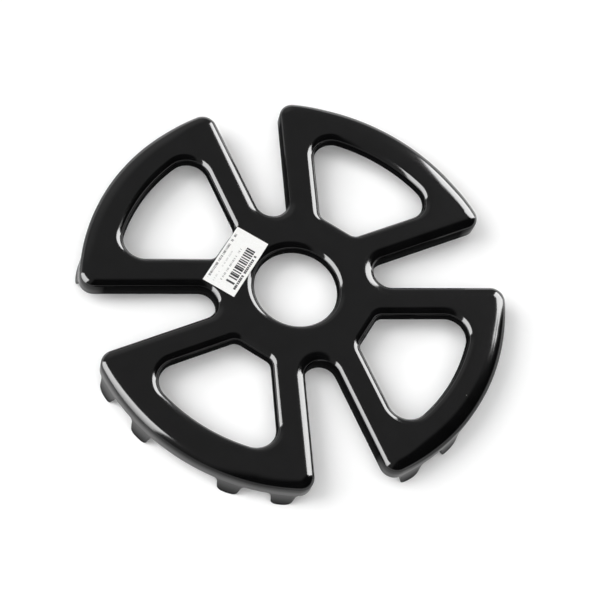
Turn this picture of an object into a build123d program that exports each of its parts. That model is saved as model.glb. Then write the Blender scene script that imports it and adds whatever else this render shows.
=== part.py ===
from build123d import *
from math import atan2, cos, degrees, radians, sin
import os

# Gas hob reducer: a four-armed trivet pressed from one enamelled steel sheet, with a paper label.
# Millimetres, +Z up. The origin is the centre of the circle that the feet stand on.
# The arms lie along X and Y, and the open slots between them lie along the diagonals.

# The pressing as a whole
RIM_DIAMETER = 140.0
TOTAL_HEIGHT = 13.2
SHEET = 1.2
EDGE_RADIUS = 3.5
FLANGE_DEPTH = 6.8
COLLAR_DEPTH = 4.2

# Arms, and the open slots between them
ARM_COUNT = 4
SLOT_HALF_ANGLE = 10.0
SLOT_END_DISTANCE = 26.8
ARM_CORNER_RADIUS = 4.6

# Hub hole, and one window in each arm
HUB_HOLE_DIAMETER = 27.6
BAR_WIDTH = 10.4
RIM_WIDTH = 11.7
WINDOW_INNER_DISTANCE = 27.4
WINDOW_OUTER_CORNER = 6.9
WINDOW_INNER_CORNER = 3.2

# Feet: two pairs under the rim of each arm, with a notch for a grate bar in each pair
FOOT_INNER_ANGLE = 13.3
FOOT_OUTER_ANGLE = 27.3
FOOT_ROOT_WIDTH = 8.4
FOOT_TIP_WIDTH = 6.2
FOOT_FLARE = 0.8
FOOT_TIP_RADIUS = 1.8
FOOT_ROOT_RADIUS = 1.4

# Price label, beside the hub hole on the arm that points along -X
LABEL_LENGTH = 23.0
LABEL_WIDTH = 11.6
LABEL_THICKNESS = 0.1
LABEL_HUB_GAP = 1.25
LABEL_SIDE_SHIFT = 4.4
LABEL_TURN = 1.5

RIM_RADIUS = RIM_DIAMETER / 2
HUB_RADIUS = HUB_HOLE_DIAMETER / 2
FOOT_HEIGHT = TOTAL_HEIGHT - FLANGE_DEPTH
ARM_PITCH = 360 / ARM_COUNT
TOLERANCE = 0.01


def on_each_arm(shape, turn=0.0):
    """Copies of a shape that lies along +X, one for each arm, turned on from the arm's axis."""
    return [Rot(0, 0, arm * ARM_PITCH + turn) * shape for arm in range(ARM_COUNT)]


def slot(inset):
    """Open slot along +X with a round inner end, grown by the inset on every side."""
    half_angle = radians(SLOT_HALF_ANGLE)
    end_centre = SLOT_END_DISTANCE / (1 - sin(half_angle))
    end_radius = end_centre * sin(half_angle) + inset
    tangent_x = end_centre - end_radius * sin(half_angle)
    tangent_y = end_radius * cos(half_angle)
    run_out_x = tangent_x + RIM_DIAMETER * cos(half_angle)
    run_out_y = tangent_y + RIM_DIAMETER * sin(half_angle)
    sides = Polygon(
        (tangent_x, -tangent_y),
        (run_out_x, -run_out_y),
        (run_out_x, run_out_y),
        (tangent_x, tangent_y),
        align=None,
    )
    return sides + Pos(end_centre, 0) * Circle(end_radius)


def outline(inset):
    """The four arms seen from above, with the whole edge moved inward by the inset."""
    radius = RIM_RADIUS - inset
    arms = Circle(radius) - on_each_arm(slot(inset), turn=ARM_PITCH / 2)
    corners = arms.vertices().filter_by(lambda v: Vector(v.X, v.Y).length > radius - TOLERANCE)
    return fillet(corners, ARM_CORNER_RADIUS - inset)


def window(growth):
    """Window in the arm along +X: its sides run parallel to the slots, its outer side to the rim."""
    side_angle = radians(ARM_PITCH / 2 - SLOT_HALF_ANGLE)
    outer_radius = RIM_RADIUS - RIM_WIDTH + growth
    bar = BAR_WIDTH - growth
    inner_x = WINDOW_INNER_DISTANCE - growth

    def side_y(x):
        return (x * sin(side_angle) - bar) / cos(side_angle)

    wedge = Polygon(
        (inner_x, -side_y(inner_x)),
        (RIM_DIAMETER, -side_y(RIM_DIAMETER)),
        (RIM_DIAMETER, side_y(RIM_DIAMETER)),
        (inner_x, side_y(inner_x)),
        align=None,
    )
    opening = wedge & Circle(outer_radius)
    corners = opening.vertices().sort_by(Axis.X)
    opening = fillet(corners[:2], WINDOW_INNER_CORNER + growth)
    corners = opening.vertices().filter_by(lambda v: Vector(v.X, v.Y).length > outer_radius - TOLERANCE)
    return fillet(corners, WINDOW_OUTER_CORNER + growth)


def openings(growth):
    """The hub hole and every window, each grown by the given amount."""
    return [Circle(HUB_RADIUS + growth)] + on_each_arm(window(growth))


def rounded_block(plan, height, radius):
    """The plan extruded up from the flange's lower edge, with its upper edges rounded."""
    block = Pos(0, 0, FOOT_HEIGHT) * extrude(plan, height)
    return fillet(block.faces().sort_by(Axis.Z)[-1].edges(), radius)


def pressing():
    """The sheet without its feet: a flat top, a deep flange outside and shallow collars inside."""
    outside = rounded_block(outline(0) - openings(0), FLANGE_DEPTH, EDGE_RADIUS)
    inside = rounded_block(outline(SHEET) - openings(SHEET), FLANGE_DEPTH - SHEET, EDGE_RADIUS - SHEET)
    below_collars = Pos(0, 0, FOOT_HEIGHT) * extrude(outline(SHEET), FLANGE_DEPTH - COLLAR_DEPTH)
    return outside - inside - below_collars


def flared_prism(inset):
    """The outline carried down from the flange's lower edge to the ground, leaning outward."""
    lean = degrees(atan2(FOOT_FLARE, FOOT_HEIGHT))
    return extrude(Pos(0, 0, FOOT_HEIGHT) * outline(inset), FOOT_HEIGHT, dir=(0, 0, -1), taper=-lean)


def skirt():
    """The wall that the feet are cut from: a lap on the flange, and below it the flared wall."""
    lap = Pos(0, 0, FOOT_HEIGHT) * extrude(outline(0) - outline(SHEET), SHEET)
    return lap + (flared_prism(0) - flared_prism(SHEET))


def tongue():
    """Outline of one foot, seen from outside: a tapered tongue below a strip of the flange."""
    lap_width = FOOT_ROOT_WIDTH + 2 * FOOT_ROOT_RADIUS
    taper = Polygon(
        (-FOOT_ROOT_WIDTH / 2, FOOT_HEIGHT),
        (-FOOT_TIP_WIDTH / 2, 0),
        (FOOT_TIP_WIDTH / 2, 0),
        (FOOT_ROOT_WIDTH / 2, FOOT_HEIGHT),
        align=None,
    )
    shape = taper + Pos(0, FOOT_HEIGHT + SHEET / 2) * Rectangle(lap_width, SHEET)
    shape = fillet(shape.vertices().group_by(Axis.Y)[0], FOOT_TIP_RADIUS)
    roots = shape.vertices().filter_by(
        lambda v: abs(v.Y - FOOT_HEIGHT) < TOLERANCE and abs(v.X) < lap_width / 2 - TOLERANCE
    )
    return fillet(roots, FOOT_ROOT_RADIUS)


def feet_of_one_arm():
    """The four feet under the rim of the arm along +X."""
    outward = Plane(origin=(RIM_RADIUS - RIM_WIDTH, 0, 0), x_dir=(0, 1, 0), z_dir=(1, 0, 0))
    cutter = extrude(outward * tongue(), 2 * RIM_WIDTH)
    turns = (-FOOT_OUTER_ANGLE, -FOOT_INNER_ANGLE, FOOT_INNER_ANGLE, FOOT_OUTER_ANGLE)
    wall = skirt()
    return [wall & (Rot(0, 0, turn) * cutter) for turn in turns]


def reducer_body():
    """The whole pressing with its feet."""
    body = pressing()
    for foot in feet_of_one_arm():
        body = body + on_each_arm(foot)
    return body


def barcode_label():
    """Flat paper label on the top face, its long side along the hub hole."""
    centre_x = -(HUB_RADIUS + LABEL_HUB_GAP + LABEL_WIDTH / 2)
    place = Pos(centre_x, -LABEL_SIDE_SHIFT, TOTAL_HEIGHT) * Rot(0, 0, LABEL_TURN)
    return place * extrude(Rectangle(LABEL_WIDTH, LABEL_LENGTH), LABEL_THICKNESS)


if __name__ == "__main__":
    os.makedirs("parts", exist_ok=True)
    export_step(reducer_body(), "parts/reducer_body.step")
    export_step(barcode_label(), "parts/barcode_label.step")
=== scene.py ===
from math import asin, ceil, cos, pi, radians, sin, tan

import bpy
from bpy.props import FloatProperty, FloatVectorProperty, IntProperty, PointerProperty
from bpy.types import Operator, Panel, PropertyGroup
from mathutils import Matrix, Vector


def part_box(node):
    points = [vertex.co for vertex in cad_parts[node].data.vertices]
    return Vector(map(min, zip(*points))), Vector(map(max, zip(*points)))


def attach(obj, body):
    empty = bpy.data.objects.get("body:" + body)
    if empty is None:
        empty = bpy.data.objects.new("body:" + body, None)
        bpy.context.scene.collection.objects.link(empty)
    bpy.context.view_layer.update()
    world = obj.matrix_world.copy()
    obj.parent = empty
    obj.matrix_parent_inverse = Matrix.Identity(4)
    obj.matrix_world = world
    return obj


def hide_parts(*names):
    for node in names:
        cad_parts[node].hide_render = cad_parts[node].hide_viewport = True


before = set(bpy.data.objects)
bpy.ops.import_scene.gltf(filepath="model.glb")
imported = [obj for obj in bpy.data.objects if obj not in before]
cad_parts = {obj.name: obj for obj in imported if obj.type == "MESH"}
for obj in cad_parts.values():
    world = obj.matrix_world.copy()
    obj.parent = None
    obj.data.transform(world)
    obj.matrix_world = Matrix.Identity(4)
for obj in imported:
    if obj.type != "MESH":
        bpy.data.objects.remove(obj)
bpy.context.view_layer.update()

bl_info = {
    "name": "Gas hob reducer",
    "version": (1, 0, 0),
    "blender": (4, 5, 0),
    "location": "3D Viewport > Sidebar > Reducer",
    "description": "Models an enamelled four-armed hob reducer with its paper label, and sets a white studio",
    "category": "Object",
}

# Places taken from the frame, in metres
BODY_NODE = "reducer_body"
LABEL_NODE = "barcode_label"
BODY_LOW, BODY_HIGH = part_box(BODY_NODE)
LABEL_LOW, LABEL_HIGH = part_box(LABEL_NODE)
RIM_RADIUS = BODY_HIGH[0]
TOP = BODY_HIGH[2]

# The arms
ARM_COUNT = 4
ARM_PITCH = 2 * pi / ARM_COUNT

# An edge's share of the rim's rounding: along a slot, where an arm's corner meets the rim, and on the rim
SLOT_SHARE = 0.0
CORNER_SHARE = 0.15
RIM_SHARE = 1.0

# How finely curves are drawn: the largest turn in one step, and the steps round a foot's corner
LARGEST_TURN = radians(8)
CORNER_STEPS = 6

# How near to a level a point counts as on it: at the flat top, and at the flange's edge or the ground
TOP_TOLERANCE = 1e-6
LEVEL_TOLERANCE = 1e-5

# Smooth shading: the angle from which an edge stays sharp, and how much large faces count
SHARP_ANGLE = radians(40)
LARGE_FACE_WEIGHT = 60

# The label's grid of faces, and the steps in which it sags
LABEL_COLUMNS = 24
LABEL_ROWS = 32
SAG_STEPS = 4

# Grain: the part of the noise that is stretched, and the settings of each finish, with scales per metre
NOISE_LOW = 0.3
NOISE_HIGH = 0.7
ENAMEL_DEPTH = {"Scale": 160.0, "Detail": 3.0}
ENAMEL_GLOSS = {"Scale": 90.0, "Detail": 2.0, "Low": 0.10, "High": 0.15}
ENAMEL_PEEL = {"Scale": 420.0, "Detail": 1.0}
PEEL_BUMP = {"Strength": 0.25, "Distance": 0.00003}
PAPER_FIBRE = {"Scale": 2500.0, "Detail": 4.0}
PAPER_GLOSS = {"Scale": 900.0, "Low": 0.42, "High": 0.55}
FIBRE_BUMP = {"Strength": 0.2, "Distance": 0.00002}

# Dust: cells per metre, a speck's radius as a share of its cell, and the share of cells that hold a speck
DUST_SCALE = 62.0
DUST_RADIUS = 0.0135
DUST_CHANCE = 0.22

# The clear coat over the enamel
COAT_IOR = 1.75
COAT_ROUGHNESS = 0.1
# Painted shade: where the coat's weight changes, so that the walls and the feet's tips mirror less and look
# darker as if in shade; start and end in metres, and the factor at both
COAT_TOWARDS_RIM = (RIM_RADIUS - 0.008, RIM_RADIUS - 0.003, 0.05, 0.75)
COAT_BELOW_FOLD = (0.0080, 0.0100, 1.0, 0.5)
COAT_ABOVE_TIP = (0.0, 0.0060, 0.12, 1.0)
COAT_NEAR_TOP = (TOP - 0.0019, TOP - 0.0010, 0.0, 1.0)
FULL_COAT = 1.0

# Rows of print on the label: the inputs of its node group, and at the end how dark the ink is
ROW_INPUTS = ("Middle", "Half", "Start", "End", "Cells", "Thin", "Thick", "Filled")
PRINTED_ROWS = (
    (0.09, 0.034, 0.07, 0.89, 48, 0.40, 0.95, 0.80, 0.80),
    (0.26, 0.026, 0.06, 0.63, 58, 0.25, 0.70, 0.62, 0.40),
    (0.43, 0.028, 0.08, 0.76, 44, 0.30, 0.80, 0.70, 0.60),
    (0.685, 0.130, 0.16, 0.79, 25, 0.40, 0.92, 0.96, 1.00),
    (0.885, 0.036, 0.10, 0.80, 30, 0.50, 0.95, 0.85, 0.95),
)
# Seeds of the uneven bars: the step from row to row, and the shift for the choice of bars left out
ROW_SEED = 100.5
FILL_SEED = 47.3

# The camera, with its lens in millimetres
CAMERA_AZIMUTH = radians(10.62)
CAMERA_ELEVATION = radians(61.42)
CAMERA_ROLL = radians(21.76)
CAMERA_LENS = 110.2
CAMERA_DISTANCE = 0.5909
CAMERA_AIM = (0.0034, -0.0043, TOP)

# The lights, all at one distance
LIGHT_DISTANCE = 3.0
# Upright panels that the enamel mirrors: the directions they fill and the way they face, in degrees
LIGHT_PANELS = {
    "front_panel": {"azimuth": (188, 250), "facing": 250, "elevation": (1, 57), "radiance": 7.4},
    "back_panel": {"azimuth": (60, 90), "facing": 90, "elevation": (16, 52), "radiance": 8.8},
    "side_panel": {"azimuth": (54.5, 60), "facing": 60, "elevation": (10, 42), "radiance": 8.8},
}
# Round lamps for the floor and the paper: where they hang, in degrees, and their share of the light
ROUND_LAMPS = {
    "key_lamp": {"azimuth": 213, "elevation": 46, "radius": 1.1, "share": 0.43},
    "top_lamp": {"azimuth": 285, "elevation": 70, "radius": 2.0, "share": 0.54},
}

# The floor, and its own glow: start and end in metres from the middle, and the strength at both
FLOOR_SIZE = 8.0
FLOOR_ROUGHNESS = 0.3
FLOOR_SPECULAR = 0.4
FLOOR_GLOW = (0.15, 0.9, 0.09, 1.0)
WHITE = (1, 1, 1)

# The surround, with directions as azimuth and elevation in degrees
# A ramp has its start and end, as a cosine or as a height on the unit sphere, and its value at both
DARK_SIDE = (358, 0)
DARK_RAMP = (0.10, 0.25, 0.18, 0.01)
GLOW_SIDE = (140, 22)
GLOW_RAMP = (0.86, 0.97, 0.0, 0.16)
HORIZON_RAMP = (sin(radians(7)), sin(radians(10)), 1.0, 0.0)
HORIZON_STRENGTH = 1.0


# Sizes and colours that a user would change


def length(name, description, default):
    """A size in metres, shown as a length."""
    return FloatProperty(name=name, description=description, default=default, min=0.0,
                         subtype="DISTANCE", unit="LENGTH", precision=5)


def angle(name, description, degrees_default):
    """An angle, given in degrees and kept in radians."""
    return FloatProperty(name=name, description=description, default=radians(degrees_default),
                         subtype="ANGLE", unit="ROTATION")


def colour(name, description, default):
    """A linear colour."""
    return FloatVectorProperty(name=name, description=description, default=default, size=3,
                               min=0.0, max=1.0, subtype="COLOR")


class ReducerSheetSizes(PropertyGroup):
    """The pressing: its sheet, its edges, its openings and its feet."""
    sheet: length("Sheet", "Thickness of the enamelled sheet", 0.0012)
    rim_round: length("Rim rounding", "Width of the rolled edge along the rim", 0.0056)
    rim_drop: length("Rim drop", "Height of the rolled edge along the rim", 0.0030)
    taper: angle("Rim taper", "Over which the rim's rounding narrows near an arm's corner", 12.0)
    slot_round: length("Slot rounding", "Width of the rolled edge along the slots", 0.0040)
    slot_drop: length("Slot drop", "Height of the rolled edge along the slots", 0.0023)
    opening_round: length("Opening rounding", "Radius of the edge of windows and hub hole", 0.0030)
    flange_depth: length("Flange depth", "From the top face to the lower edge of the flange", 0.0068)
    collar_depth: length("Collar depth", "From the top face to the lower edge of an opening", 0.0042)
    slot_half_angle: angle("Slot half angle", "Between a slot's middle and its side", 10.0)
    slot_end: length("Slot end", "From the centre to the inner end of a slot", 0.0268)
    arm_corner: length("Arm corner", "Corner radius where slot and rim meet, seen from above", 0.0046)
    hub_radius: length("Hub radius", "Radius of the hub hole", 0.0138)
    bar_width: length("Bar width", "Between the side of a slot and the side of a window", 0.0104)
    rim_width: length("Rim width", "Between the rim and the outer side of a window", 0.0117)
    window_inner: length("Window inner side", "From the centre to the straight side of a window", 0.0274)
    window_outer_corner: length("Window outer corner", "Corner radius at the rim", 0.0069)
    window_inner_corner: length("Window inner corner", "Corner radius at the hub", 0.0032)
    foot_inner_angle: angle("Inner foot angle", "From the arm's axis to its inner feet", 13.3)
    foot_outer_angle: angle("Outer foot angle", "From the arm's axis to its outer feet", 27.3)
    foot_root: length("Foot root width", "Width of a foot at the flange", 0.0084)
    foot_tip: length("Foot tip width", "Width of a foot at the ground", 0.0062)
    foot_flare: length("Foot flare", "How far a foot leans outward at the ground", 0.0008)
    foot_tip_radius: length("Foot tip radius", "Corner radius at the ground", 0.0018)
    foot_root_radius: length("Foot root radius", "Corner radius at the flange", 0.0014)
    chord: length("Chord", "Longest straight step along a curved edge", 0.0007)
    edge_steps: IntProperty(name="Edge steps", description="Steps across a rolled edge", default=9, min=2)


class ReducerLabelSizes(PropertyGroup):
    """The paper label: its size, its turn and how far it sags at the hub hole."""
    width: length("Width", "Short side", 0.0116)
    reach: length("Length", "Long side", 0.0230)
    turn: angle("Turn", "Turn of the long side from the Y axis", 1.5)
    sag: length("Sag", "Drop of the paper where it reaches the hub hole", 0.000125)


class ReducerColours(PropertyGroup):
    """Enamel, dust, paper, ink and floor."""
    enamel: colour("Enamel", "Fired black enamel", (0.0012, 0.0012, 0.0013))
    enamel_light: colour("Light enamel", "Enamel where it lies thinner", (0.0026, 0.0026, 0.0028))
    dust: colour("Dust", "Pale specks of dust", (0.08, 0.08, 0.075))
    paper: colour("Paper", "Coated label paper", (0.87, 0.87, 0.86))
    fibre: colour("Paper fibre", "Shade of the paper's fibres", (0.80, 0.80, 0.78))
    ink: colour("Ink", "Printed bars", (0.012, 0.012, 0.014))
    floor: colour("Floor", "Pale studio floor", (0.93, 0.93, 0.93))


# Outlines: closed chains of tangent arcs, with straight runs between them
# A point of an outline has its place, the direction that the edge faces, and its share of the rim's rounding


def arc_points(centre, radius, start, end, chord, hollow=False, shares=(SLOT_SHARE, SLOT_SHARE)):
    """Points of an outline along an arc from one angle to another, both ends included."""
    sweep = end - start
    steps = max(ceil(abs(sweep) * radius / chord), ceil(abs(sweep) / LARGEST_TURN))
    points = []
    for step in range(steps + 1):
        part = step / steps
        turn = start + sweep * part
        eased = part * part * (3 - 2 * part)
        share = shares[0] + (shares[1] - shares[0]) * eased
        place = (centre[0] + radius * cos(turn), centre[1] + radius * sin(turn))
        points.append((*place, turn + pi if hollow else turn, share))
    return points


def turned(points, turn):
    """The points of an outline turned about the centre."""
    return [(x * cos(turn) - y * sin(turn), x * sin(turn) + y * cos(turn), facing + turn, share)
            for x, y, facing, share in points]


def polar(radius, turn):
    """A point at a distance and an angle from the centre."""
    return (radius * cos(turn), radius * sin(turn))


def arm_outline(sizes):
    """One arm along +X and the round end of the slot that follows it, anticlockwise."""
    side = ARM_PITCH / 2 - sizes.slot_half_angle
    corner = sizes.arm_corner
    corner_reach = RIM_RADIUS - corner
    corner_turn = side - asin(corner / corner_reach)
    full_turn = corner_turn - sizes.taper
    slot_reach = sizes.slot_end / (1 - sin(sizes.slot_half_angle))
    slot_radius = slot_reach * sin(sizes.slot_half_angle)
    slot_centre = polar(slot_reach, ARM_PITCH / 2)
    inward = ARM_PITCH / 2 + pi
    half_sweep = pi / 2 - sizes.slot_half_angle

    def rim(start, end, *shares):
        return arc_points((0, 0), RIM_RADIUS, start, end, sizes.chord, shares=shares)

    points = arc_points(polar(corner_reach, -corner_turn), corner, -side - pi / 2, -corner_turn, sizes.chord,
                        shares=(SLOT_SHARE, CORNER_SHARE))
    points += rim(-corner_turn, -full_turn, CORNER_SHARE, RIM_SHARE)[1:]
    points += rim(-full_turn, full_turn, RIM_SHARE, RIM_SHARE)[1:]
    points += rim(full_turn, corner_turn, RIM_SHARE, CORNER_SHARE)[1:-1]
    points += arc_points(polar(corner_reach, corner_turn), corner, corner_turn, side + pi / 2, sizes.chord,
                         shares=(CORNER_SHARE, SLOT_SHARE))
    points += arc_points(slot_centre, slot_radius, inward + half_sweep, inward - half_sweep, sizes.chord,
                         hollow=True)
    return points


def sheet_outline(sizes):
    """The whole outer edge of the pressing."""
    one_arm = arm_outline(sizes)
    return [point for arm in range(ARM_COUNT) for point in turned(one_arm, arm * ARM_PITCH)]


def window_outline(sizes):
    """The window of the arm along +X, anticlockwise."""
    side = ARM_PITCH / 2 - sizes.slot_half_angle
    outer_radius = RIM_RADIUS - sizes.rim_width
    outer = sizes.window_outer_corner
    inner = sizes.window_inner_corner
    outer_reach = outer_radius - outer
    outer_turn = side - asin((sizes.bar_width + outer) / outer_reach)
    inner_x = sizes.window_inner + inner
    inner_y = (inner_x * sin(side) - sizes.bar_width - inner) / cos(side)
    normal = side + pi / 2

    def edge(centre, radius, start, end):
        return arc_points(centre, radius, start, end, sizes.chord, hollow=True)

    points = edge((0, 0), outer_radius, -outer_turn, outer_turn)[1:-1]
    points += edge(polar(outer_reach, outer_turn), outer, outer_turn, normal)
    points += edge((inner_x, inner_y), inner, normal, pi)
    points += edge((inner_x, -inner_y), inner, pi, 2 * pi - normal)
    points += edge(polar(outer_reach, -outer_turn), outer, -normal, -outer_turn)
    return points


def opening_outlines(sizes):
    """The hub hole and the window of each arm."""
    hub = arc_points((0, 0), sizes.hub_radius, 0, 2 * pi, sizes.chord, hollow=True)[:-1]
    window = window_outline(sizes)
    return [hub] + [turned(window, arm * ARM_PITCH) for arm in range(ARM_COUNT)]


# Modelling helpers


def select_only(piece):
    """Makes one object the active and only selected one."""
    bpy.ops.object.select_all(action="DESELECT")
    piece.select_set(True)
    bpy.context.view_layer.objects.active = piece


def loft(name, rows):
    """A surface through closed rows of points: each row is drawn as a curve, and the rows are bridged."""
    curve = bpy.data.curves.new(name, "CURVE")
    curve.dimensions = "3D"
    for row in rows:
        spline = curve.splines.new("POLY")
        spline.points.add(len(row) - 1)
        for point, place in zip(spline.points, row):
            point.co = (*place, 1)
        spline.use_cyclic_u = True
    piece = bpy.data.objects.new(name, curve)
    bpy.context.collection.objects.link(piece)
    select_only(piece)
    bpy.ops.object.convert(target="MESH")
    bpy.ops.object.mode_set(mode="EDIT")
    bpy.ops.mesh.select_all(action="SELECT")
    bpy.ops.mesh.bridge_edge_loops(type="SINGLE")
    bpy.ops.object.mode_set(mode="OBJECT")
    return bpy.context.object


def select_edges(piece, chosen):
    """In edit mode, selects the edges whose two ends both pass a test of their place, and counts them."""
    bpy.ops.mesh.select_all(action="DESELECT")
    bpy.ops.object.mode_set(mode="OBJECT")
    vertices = piece.data.vertices
    for edge in piece.data.edges:
        edge.select = all(chosen(vertices[index].co) for index in edge.vertices)
    count = sum(edge.select for edge in piece.data.edges)
    bpy.ops.object.mode_set(mode="EDIT")
    return count


def apply_modifier(piece, kind, **settings):
    """Adds a modifier with its settings and applies it."""
    modifier = piece.modifiers.new(kind.title(), kind)
    for name, value in settings.items():
        setattr(modifier, name, value)
    select_only(piece)
    bpy.ops.object.modifier_apply(modifier=modifier.name)


# The pressing


def rolled_rows(outline, narrow, wide, bottom, steps):
    """Rows of points down a rolled edge, from the flat top to its lower edge.

    The rounding is a quarter of an ellipse. Its width and height go from narrow to wide with a point's share.
    """
    rows = []
    for step in range(steps + 1):
        turn = pi / 2 * step / steps
        row = []
        for x, y, facing, share in outline:
            width, drop = [low + (high - low) * share for low, high in zip(narrow, wide)]
            inset = width * (1 - sin(turn))
            row.append((x - inset * cos(facing), y - inset * sin(facing), TOP - drop * (1 - cos(turn))))
        rows.append(row)
    rows.append([(x, y, TOP - bottom) for x, y, facing, share in outline])
    return rows


def press_skin(sizes):
    """The outer skin: a flat top, and rolled edges round the sheet, the windows and the hub hole."""
    slot_edge = (sizes.slot_round, sizes.slot_drop)
    rim_edge = (sizes.rim_round, sizes.rim_drop)
    opening_edge = (sizes.opening_round, sizes.opening_round)
    steps = sizes.edge_steps
    sheet_rows = rolled_rows(sheet_outline(sizes), slot_edge, rim_edge, sizes.flange_depth, steps)
    skin = loft("enamelled_pressing", sheet_rows)
    collars = [loft("collar", rolled_rows(outline, opening_edge, opening_edge, sizes.collar_depth, steps))
               for outline in opening_outlines(sizes)]
    select_only(skin)
    for collar in collars:
        collar.select_set(True)
    bpy.ops.object.join()
    bpy.ops.object.mode_set(mode="EDIT")
    select_edges(skin, lambda place: place.z > TOP - TOP_TOLERANCE)
    if "FINISHED" not in bpy.ops.mesh.fill():
        raise RuntimeError("The flat top of the pressing could not be filled")
    bpy.ops.mesh.select_all(action="SELECT")
    bpy.ops.mesh.normals_make_consistent(inside=False)
    return skin


def foot_rows(sizes):
    """Half width and depth of a foot, row by row from its root to its tip."""
    depth = TOP - sizes.flange_depth
    taper = (sizes.foot_root - sizes.foot_tip) / 2 / depth
    turns = [step * pi / 2 / CORNER_STEPS for step in range(CORNER_STEPS + 1)]
    rows = []
    for turn in turns:
        down = sizes.foot_root_radius * (1 - cos(turn))
        out = sizes.foot_root_radius * (1 - sin(turn))
        rows.append((sizes.foot_root / 2 - taper * down + out, down))
    for turn in turns:
        down = depth - sizes.foot_tip_radius * (1 - sin(turn))
        back = sizes.foot_tip_radius * (1 - cos(turn))
        rows.append((sizes.foot_root / 2 - taper * down - back, down))
    return rows


def draw_foot(skin, sizes, turn):
    """Draws one foot out of the flange's lower edge, row by row, narrowing and leaning outward."""
    level = TOP - sizes.flange_depth
    outward = Vector((cos(turn), sin(turn), 0))
    along = Vector((-sin(turn), cos(turn), 0))
    rows = foot_rows(sizes)
    reach = rows[0][0] + sizes.chord / 2

    def at_root(place):
        near = abs(place.dot(along)) < reach and place.dot(outward) > RIM_RADIUS - sizes.arm_corner
        return near and abs(place.z - level) < LEVEL_TOLERANCE

    if not select_edges(skin, at_root):
        raise RuntimeError("The flange has no edge to draw a foot from")
    root = outward * RIM_RADIUS
    for (half, down), (next_half, next_down) in zip(rows, rows[1:]):
        step_out = sizes.foot_flare * (next_down - down) / level
        step = outward * step_out - Vector((0, 0, next_down - down))
        bpy.ops.mesh.extrude_edges_move(TRANSFORM_OT_translate={"value": step})
        narrowing = next_half / half
        centre = root + outward * sizes.foot_flare * next_down / level
        bpy.ops.transform.resize(value=(narrowing, narrowing, 1), center_override=centre)


def flatten_below(piece, level):
    """Scales everything at or below a level flat onto that level."""
    bpy.ops.object.mode_set(mode="EDIT")
    select_edges(piece, lambda place: place.z < level + LEVEL_TOLERANCE)
    bpy.ops.transform.resize(value=(1, 1, 0), center_override=(0, 0, level))
    bpy.ops.object.mode_set(mode="OBJECT")


def finish_pressing(skin, sizes):
    """Gives the skin its sheet thickness, stands the feet flat and smooths the shading."""
    bpy.ops.object.mode_set(mode="OBJECT")
    apply_modifier(skin, "SOLIDIFY", thickness=sizes.sheet, offset=-1, use_even_offset=True,
                   use_quality_normals=True)
    flatten_below(skin, BODY_LOW[2])
    bpy.ops.object.shade_smooth_by_angle(angle=SHARP_ANGLE)
    apply_modifier(skin, "WEIGHTED_NORMAL", mode="FACE_AREA", weight=LARGE_FACE_WEIGHT, keep_sharp=True)


class ReducerPressSheet(Operator):
    """Models the enamelled pressing with its windows, slots, flange and feet"""
    bl_idname = "reducer.press_sheet"
    bl_label = "Press the sheet"

    def execute(self, context):
        sizes = context.scene.reducer_sheet
        skin = press_skin(sizes)
        for arm in range(ARM_COUNT):
            for foot in (sizes.foot_inner_angle, sizes.foot_outer_angle):
                for turn in (-foot, foot):
                    draw_foot(skin, sizes, arm * ARM_PITCH + turn)
        finish_pressing(skin, sizes)
        skin.data.materials.clear()
        skin.data.materials.append(enamel_material(context.scene.reducer_colours))
        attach(skin, "root")
        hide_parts(BODY_NODE)
        return {"FINISHED"}


# The label


def bend_over_hub(sheet, label, pressing):
    """Lets the paper sag, step by step, where the rounded edge of the hub hole falls away below it."""
    flat_from = pressing.hub_radius + pressing.opening_round
    for step in range(SAG_STEPS):
        past = step * pressing.opening_round / SAG_STEPS
        select_edges(sheet, lambda place: place.xy.length < flat_from - past)
        bpy.ops.transform.translate(value=(0, 0, -label.sag / SAG_STEPS))


def label_sheet(label, pressing):
    """A thin sheet of paper that lies on the top face beside the hub hole."""
    bpy.ops.object.select_all(action="DESELECT")
    bpy.ops.mesh.primitive_grid_add(x_subdivisions=LABEL_COLUMNS, y_subdivisions=LABEL_ROWS, size=1,
                                    calc_uvs=True)
    sheet = bpy.context.object
    sheet.name = sheet.data.name = "paper_label"
    middle = (Vector(LABEL_LOW) + Vector(LABEL_HIGH)) / 2
    bpy.ops.object.mode_set(mode="EDIT")
    bpy.ops.mesh.select_all(action="SELECT")
    bpy.ops.transform.resize(value=(label.width, label.reach, 1), center_override=(0, 0, 0))
    bpy.ops.transform.rotate(value=-label.turn, orient_axis="Z", center_override=(0, 0, 0))
    bpy.ops.transform.translate(value=(middle.x, middle.y, LABEL_HIGH[2]))
    bend_over_hub(sheet, label, pressing)
    bpy.ops.object.mode_set(mode="OBJECT")
    apply_modifier(sheet, "SOLIDIFY", thickness=LABEL_HIGH[2] - LABEL_LOW[2], offset=-1)
    bpy.ops.object.shade_smooth_by_angle(angle=SHARP_ANGLE)
    return sheet


class ReducerStickLabel(Operator):
    """Models the paper label on the top face"""
    bl_idname = "reducer.stick_label"
    bl_label = "Stick the label"

    def execute(self, context):
        scene = context.scene
        sheet = label_sheet(scene.reducer_label, scene.reducer_sheet)
        sheet.data.materials.clear()
        sheet.data.materials.append(label_material(scene.reducer_colours))
        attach(sheet, "root")
        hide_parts(LABEL_NODE)
        return {"FINISHED"}


# Building blocks of the materials


def new_material(name):
    """A node material and its shader."""
    material = bpy.data.materials.new(name)
    material.use_nodes = True
    shader = material.node_tree.nodes["Principled BSDF"]
    return material, shader


def put(tree, socket, value):
    """Links an output to a socket, or sets the socket to a plain value."""
    if isinstance(value, bpy.types.NodeSocket):
        tree.links.new(value, socket)
    else:
        socket.default_value = value


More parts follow.
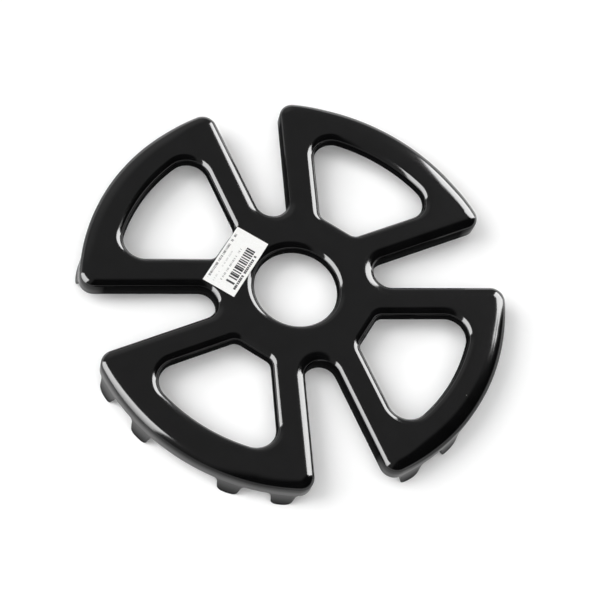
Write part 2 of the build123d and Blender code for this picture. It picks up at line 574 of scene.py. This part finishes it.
def add_node(tree, kind, inputs=None, **settings):
    """A node with its settings; an input that is a socket is linked, any other is set."""
    node = tree.nodes.new(kind)
    for name, value in settings.items():
        setattr(node, name, value)
    for key, value in (inputs or {}).items():
        put(tree, node.inputs[key], value)
    return node


def number(tree, operation, first, second=0.0):
    """The result of one sum on two numbers."""
    return add_node(tree, "ShaderNodeMath", {0: first, 1: second}, operation=operation).outputs["Value"]


def between(tree, share, first, second):
    """A number between two numbers."""
    return add_node(tree, "ShaderNodeMix", {"Factor": share, "A": first, "B": second}).outputs["Result"]


def blend(tree, share, first, second):
    """A colour between two colours."""
    node = add_node(tree, "ShaderNodeMix", {"Factor": share, "A": first, "B": second}, data_type="RGBA")
    return node.outputs["Result"]


def ramp(tree, value, start, end, low, high):
    """A value carried over from one range to another, held at both ends."""
    node = add_node(tree, "ShaderNodeMapRange", {"Value": value, "From Min": start, "From Max": end,
                                                 "To Min": low, "To Max": high})
    return node.outputs["Result"]


def vector_length(tree, vector):
    """The length of a vector."""
    return add_node(tree, "ShaderNodeVectorMath", {0: vector}, operation="LENGTH").outputs["Value"]


def opaque(value):
    """A colour with full alpha."""
    return (*value, 1.0)


def new_group(name, inputs, outputs):
    """An empty node group with number sockets and perhaps a vector, and its two ends."""
    tree = bpy.data.node_groups.new(name, "ShaderNodeTree")
    for socket, default in inputs.items():
        kind = "NodeSocketVector" if socket == "Vector" else "NodeSocketFloat"
        made = tree.interface.new_socket(socket, in_out="INPUT", socket_type=kind)
        if kind == "NodeSocketFloat":
            made.default_value = default
    for socket in outputs:
        tree.interface.new_socket(socket, in_out="OUTPUT", socket_type="NodeSocketFloat")
    return tree, tree.nodes.new("NodeGroupInput").outputs, tree.nodes.new("NodeGroupOutput").inputs


def use_group(tree, group, inputs):
    """The outputs of a group that is placed in a material with its own values."""
    return add_node(tree, "ShaderNodeGroup", inputs, node_tree=group).outputs


def grain_group():
    """Soft uneven grain, stretched between a low and a high value; built once."""
    if "surface_grain" in bpy.data.node_groups:
        return bpy.data.node_groups["surface_grain"]
    tree, given, result = new_group("surface_grain", {"Vector": None, "Scale": 1000.0, "Detail": 2.0,
                                                      "Low": 0.0, "High": 1.0}, ["Value"])
    noise = add_node(tree, "ShaderNodeTexNoise", {"Vector": given["Vector"], "Scale": given["Scale"],
                                                  "Detail": given["Detail"]})
    stretched = ramp(tree, noise.outputs["Fac"], NOISE_LOW, NOISE_HIGH, given["Low"], given["High"])
    put(tree, result["Value"], stretched)
    return tree


def grain(tree, place, settings):
    """Grain over the surface with a finish's own settings."""
    return use_group(tree, grain_group(), {"Vector": place, **settings})["Value"]


def bumped(tree, height, settings):
    """The surface's normal, bent by a height."""
    return add_node(tree, "ShaderNodeBump", {"Height": height, **settings}).outputs["Normal"]


def shuffled(tree, cell, seed):
    """A number between nought and one that differs from cell to cell."""
    noise = add_node(tree, "ShaderNodeTexWhiteNoise", {"W": number(tree, "ADD", cell, seed)},
                     noise_dimensions="1D")
    return noise.outputs["Value"]


def print_group():
    """One printed row on the label: bars or dashes of uneven width between two ends, some left out."""
    tree, given, result = new_group("printed_row", {"Across": 0.0, "Along": 0.0, "Middle": 0.5, "Half": 0.1,
                                                    "Start": 0.1, "End": 0.9, "Cells": 60.0, "Thin": 0.2,
                                                    "Thick": 0.8, "Filled": 0.5, "Seed": 0.0}, ["Mask"])
    off_middle = number(tree, "ABSOLUTE", number(tree, "SUBTRACT", given["Across"], given["Middle"]))
    in_row = number(tree, "LESS_THAN", off_middle, given["Half"])
    past_start = number(tree, "GREATER_THAN", given["Along"], given["Start"])
    before_end = number(tree, "LESS_THAN", given["Along"], given["End"])
    in_length = number(tree, "MULTIPLY", past_start, before_end)
    position = number(tree, "MULTIPLY", given["Along"], given["Cells"])
    cell = number(tree, "FLOOR", position)
    width = ramp(tree, shuffled(tree, cell, given["Seed"]), 0.0, 1.0, given["Thin"], given["Thick"])
    in_bar = number(tree, "LESS_THAN", number(tree, "FRACT", position), width)
    fill_seed = number(tree, "ADD", given["Seed"], FILL_SEED)
    printed = number(tree, "LESS_THAN", shuffled(tree, cell, fill_seed), given["Filled"])
    inside = number(tree, "MULTIPLY", in_row, in_length)
    put(tree, result["Mask"], number(tree, "MULTIPLY", inside, number(tree, "MULTIPLY", in_bar, printed)))
    return tree


# Enamel and paper


def dust_mask(tree, place):
    """A few small specks scattered over the surface."""
    specks = add_node(tree, "ShaderNodeTexVoronoi", {"Vector": place, "Scale": DUST_SCALE}, feature="F1")
    near = number(tree, "LESS_THAN", specks.outputs["Distance"], DUST_RADIUS)
    chance = add_node(tree, "ShaderNodeSeparateColor", {"Color": specks.outputs["Color"]}).outputs["Red"]
    return number(tree, "MULTIPLY", near, number(tree, "LESS_THAN", chance, DUST_CHANCE))


def coat_with_painted_shade(tree, place):
    """The coat's weight, as painted shade: full on top, less on the walls, and least inside the rim and at
    the feet's tips, which then mirror less and look darker as if in shade.
    """
    height = add_node(tree, "ShaderNodeSeparateXYZ", {"Vector": place}).outputs["Z"]
    flat = add_node(tree, "ShaderNodeVectorMath", {0: place, 1: (1, 1, 0)}, operation="MULTIPLY")
    towards_rim = ramp(tree, vector_length(tree, flat.outputs["Vector"]), *COAT_TOWARDS_RIM)
    below_fold = ramp(tree, height, *COAT_BELOW_FOLD)
    above_tip = ramp(tree, height, *COAT_ABOVE_TIP)
    on_wall = number(tree, "MULTIPLY", towards_rim, number(tree, "MULTIPLY", below_fold, above_tip))
    return between(tree, ramp(tree, height, *COAT_NEAR_TOP), on_wall, FULL_COAT)


def enamel_material(colours):
    """Glossy black enamel with a fine orange peel, an uneven depth and a few specks of dust."""
    material, shader = new_material("black_enamel")
    tree = material.node_tree
    place = add_node(tree, "ShaderNodeTexCoord").outputs["Object"]
    depth = grain(tree, place, ENAMEL_DEPTH)
    base = blend(tree, depth, opaque(colours.enamel), opaque(colours.enamel_light))
    put(tree, shader.inputs["Base Color"], blend(tree, dust_mask(tree, place), base, opaque(colours.dust)))
    put(tree, shader.inputs["Roughness"], grain(tree, place, ENAMEL_GLOSS))
    put(tree, shader.inputs["Normal"], bumped(tree, grain(tree, place, ENAMEL_PEEL), PEEL_BUMP))
    # Painted shade: a thinner coat on the walls and at the feet's tips darkens them
    put(tree, shader.inputs["Coat Weight"], coat_with_painted_shade(tree, place))
    # Only the coat mirrors
    shader.inputs["Specular IOR Level"].default_value = 0.0
    shader.inputs["Coat IOR"].default_value = COAT_IOR
    shader.inputs["Coat Roughness"].default_value = COAT_ROUGHNESS
    return material


def label_material(colours):
    """White coated paper with generic printed bars and dashes."""
    material, shader = new_material("label_paper")
    tree = material.node_tree
    places = add_node(tree, "ShaderNodeTexCoord").outputs
    fibre = grain(tree, places["Object"], PAPER_FIBRE)
    base = blend(tree, fibre, opaque(colours.paper), opaque(colours.fibre))
    spot = add_node(tree, "ShaderNodeSeparateXYZ", {"Vector": places["UV"]}).outputs
    row_group = print_group()
    for count, row in enumerate(PRINTED_ROWS, start=1):
        values = dict(zip(ROW_INPUTS, row))
        values.update({"Across": spot["X"], "Along": spot["Y"], "Seed": ROW_SEED * count})
        mask = use_group(tree, row_group, values)["Mask"]
        base = blend(tree, number(tree, "MULTIPLY", mask, row[-1]), base, opaque(colours.ink))
    put(tree, shader.inputs["Base Color"], base)
    put(tree, shader.inputs["Roughness"], grain(tree, places["Object"], PAPER_GLOSS))
    put(tree, shader.inputs["Normal"], bumped(tree, fibre, FIBRE_BUMP))
    return material


# The stage


def studio_camera():
    """The camera at the photograph's angle, turned about its own axis as the photograph is."""
    data = bpy.data.cameras.new("studio_camera")
    data.lens = CAMERA_LENS
    camera = bpy.data.objects.new("studio_camera", data)
    bpy.context.collection.objects.link(camera)
    level_right = Vector((cos(CAMERA_AZIMUTH), sin(CAMERA_AZIMUTH), 0))
    forward = Vector((-sin(CAMERA_AZIMUTH) * cos(CAMERA_ELEVATION),
                      cos(CAMERA_AZIMUTH) * cos(CAMERA_ELEVATION), -sin(CAMERA_ELEVATION)))
    level_up = level_right.cross(forward)
    right = level_right * cos(CAMERA_ROLL) + level_up * sin(CAMERA_ROLL)
    up = level_up * cos(CAMERA_ROLL) - level_right * sin(CAMERA_ROLL)
    turn = Matrix((right, up, -forward)).transposed().to_4x4()
    place = Vector(CAMERA_AIM) - forward * CAMERA_DISTANCE
    camera.matrix_world = Matrix.Translation(place) @ turn
    return camera


def direction(azimuth, elevation):
    """The unit vector towards an azimuth and an elevation in degrees."""
    turn, rise = radians(azimuth), radians(elevation)
    return Vector((cos(turn) * cos(rise), sin(turn) * cos(rise), sin(rise)))


def hang(name, data, place, turn):
    """Hangs a light that the camera doesn't see."""
    light = bpy.data.objects.new(name, data)
    bpy.context.collection.objects.link(light)
    light.matrix_world = Matrix.Translation(place) @ turn
    light.visible_camera = False
    return light


def light_panel(name, azimuth, facing, elevation, radiance):
    """An upright panel that fills a range of directions, seen only as a reflection."""
    sides = [LIGHT_DISTANCE * tan(radians(turn - facing)) for turn in azimuth]
    heights = [LIGHT_DISTANCE * tan(radians(rise)) for rise in elevation]
    data = bpy.data.lights.new(name, "AREA")
    data.shape = "RECTANGLE"
    data.size = sides[1] - sides[0]
    data.size_y = heights[1] - heights[0]
    data.energy = radiance * pi * data.size * data.size_y
    away = direction(facing, 0)
    across = direction(facing + 90, 0)
    middle = away * LIGHT_DISTANCE + across * sum(sides) / 2 + Vector((0, 0, sum(heights) / 2))
    turn = Matrix((across, Vector((0, 0, 1)), away)).transposed().to_4x4()
    hang(name, data, middle, turn).visible_diffuse = False


def round_lamp(name, azimuth, elevation, radius, share):
    """A round lamp aimed at the object, that gives a share of the light on the floor and no reflection."""
    away = direction(azimuth, elevation)
    data = bpy.data.lights.new(name, "AREA")
    data.shape = "DISK"
    data.size = 2 * radius
    spread = radius ** 2 / (radius ** 2 + LIGHT_DISTANCE ** 2)
    radiance = share / spread / away.z
    data.energy = radiance * pi * pi * radius ** 2
    turn = away.to_track_quat("Z", "Y").to_matrix().to_4x4()
    hang(name, data, away * LIGHT_DISTANCE, turn).visible_glossy = False


def floor_material(colours):
    """A pale floor, with a glow of its own that only the camera and reflections see."""
    material, shader = new_material("pale_floor")
    tree = material.node_tree
    shader.inputs["Base Color"].default_value = opaque(colours.floor)
    shader.inputs["Roughness"].default_value = FLOOR_ROUGHNESS
    shader.inputs["Specular IOR Level"].default_value = FLOOR_SPECULAR
    shader.inputs["Emission Color"].default_value = opaque(WHITE)
    rays = add_node(tree, "ShaderNodeLightPath").outputs
    mirrored = number(tree, "MAXIMUM", rays["Is Glossy Ray"], rays["Is Transmission Ray"])
    seen = number(tree, "MAXIMUM", rays["Is Camera Ray"], mirrored)
    place = add_node(tree, "ShaderNodeTexCoord").outputs["Object"]
    glow = ramp(tree, vector_length(tree, place), *FLOOR_GLOW)
    put(tree, shader.inputs["Emission Strength"], number(tree, "MULTIPLY", seen, glow))
    return material


def studio_floor(colours):
    """A wide floor that keeps the object's shadow."""
    bpy.ops.object.select_all(action="DESELECT")
    bpy.ops.mesh.primitive_plane_add(size=FLOOR_SIZE)
    floor = bpy.context.object
    floor.name = "studio_floor"
    floor.data.materials.append(floor_material(colours))


def towards(tree, place, azimuth, elevation):
    """How far a direction points the same way as another, from minus one to one."""
    node = add_node(tree, "ShaderNodeVectorMath", {0: place, 1: direction(azimuth, elevation)},
                    operation="DOT_PRODUCT")
    return node.outputs["Value"]


def studio_world():
    """A soft grey surround: white at the horizon, dark on the right, a little lighter at the back left."""
    world = bpy.data.worlds.new("studio_world")
    world.use_nodes = True
    tree = world.node_tree
    background = tree.nodes["Background"]
    background.inputs["Color"].default_value = opaque(WHITE)
    place = add_node(tree, "ShaderNodeTexCoord").outputs["Generated"]
    height = add_node(tree, "ShaderNodeSeparateXYZ", {"Vector": place}).outputs["Z"]
    surround = ramp(tree, towards(tree, place, *DARK_SIDE), *DARK_RAMP)
    glow = ramp(tree, towards(tree, place, *GLOW_SIDE), *GLOW_RAMP)
    upper = number(tree, "ADD", surround, glow)
    at_horizon = ramp(tree, height, *HORIZON_RAMP)
    put(tree, background.inputs["Strength"], between(tree, at_horizon, upper, HORIZON_STRENGTH))
    return world


class ReducerSetStage(Operator):
    """Sets the pale floor, the surround, the lights and the camera"""
    bl_idname = "reducer.set_stage"
    bl_label = "Set the stage"

    def execute(self, context):
        scene = context.scene
        scene.view_settings.view_transform = "Standard"
        scene.camera = studio_camera()
        scene.world = studio_world()
        studio_floor(scene.reducer_colours)
        for name, settings in LIGHT_PANELS.items():
            light_panel(name, **settings)
        for name, settings in ROUND_LAMPS.items():
            round_lamp(name, **settings)
        return {"FINISHED"}


# The add-on


class ReducerPanel(Panel):
    """Lists the steps, the sizes and the colours"""
    bl_idname = "VIEW3D_PT_reducer"
    bl_label = "Gas hob reducer"
    bl_space_type = "VIEW_3D"
    bl_region_type = "UI"
    bl_category = "Reducer"

    def draw(self, context):
        for step in STEPS:
            self.layout.operator(step.bl_idname)
        for name, group in GROUPS.items():
            box = self.layout.box()
            for setting in group.__annotations__:
                box.prop(getattr(context.scene, name), setting)


STEPS = (ReducerPressSheet, ReducerStickLabel, ReducerSetStage)
GROUPS = {
    "reducer_sheet": ReducerSheetSizes,
    "reducer_label": ReducerLabelSizes,
    "reducer_colours": ReducerColours,
}
CLASSES = (*GROUPS.values(), *STEPS, ReducerPanel)


def register():
    """Registers the classes and hangs the settings on the scene."""
    for item in CLASSES:
        bpy.utils.register_class(item)
    for name, group in GROUPS.items():
        setattr(bpy.types.Scene, name, PointerProperty(type=group))


def unregister():
    """Takes the settings and the classes away again."""
    for name in GROUPS:
        delattr(bpy.types.Scene, name)
    for item in reversed(CLASSES):
        bpy.utils.unregister_class(item)


def main():
    """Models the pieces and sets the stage."""
    register()
    bpy.ops.reducer.press_sheet()
    bpy.ops.reducer.stick_label()
    bpy.ops.reducer.set_stage()


if __name__ == "__main__":
    main()
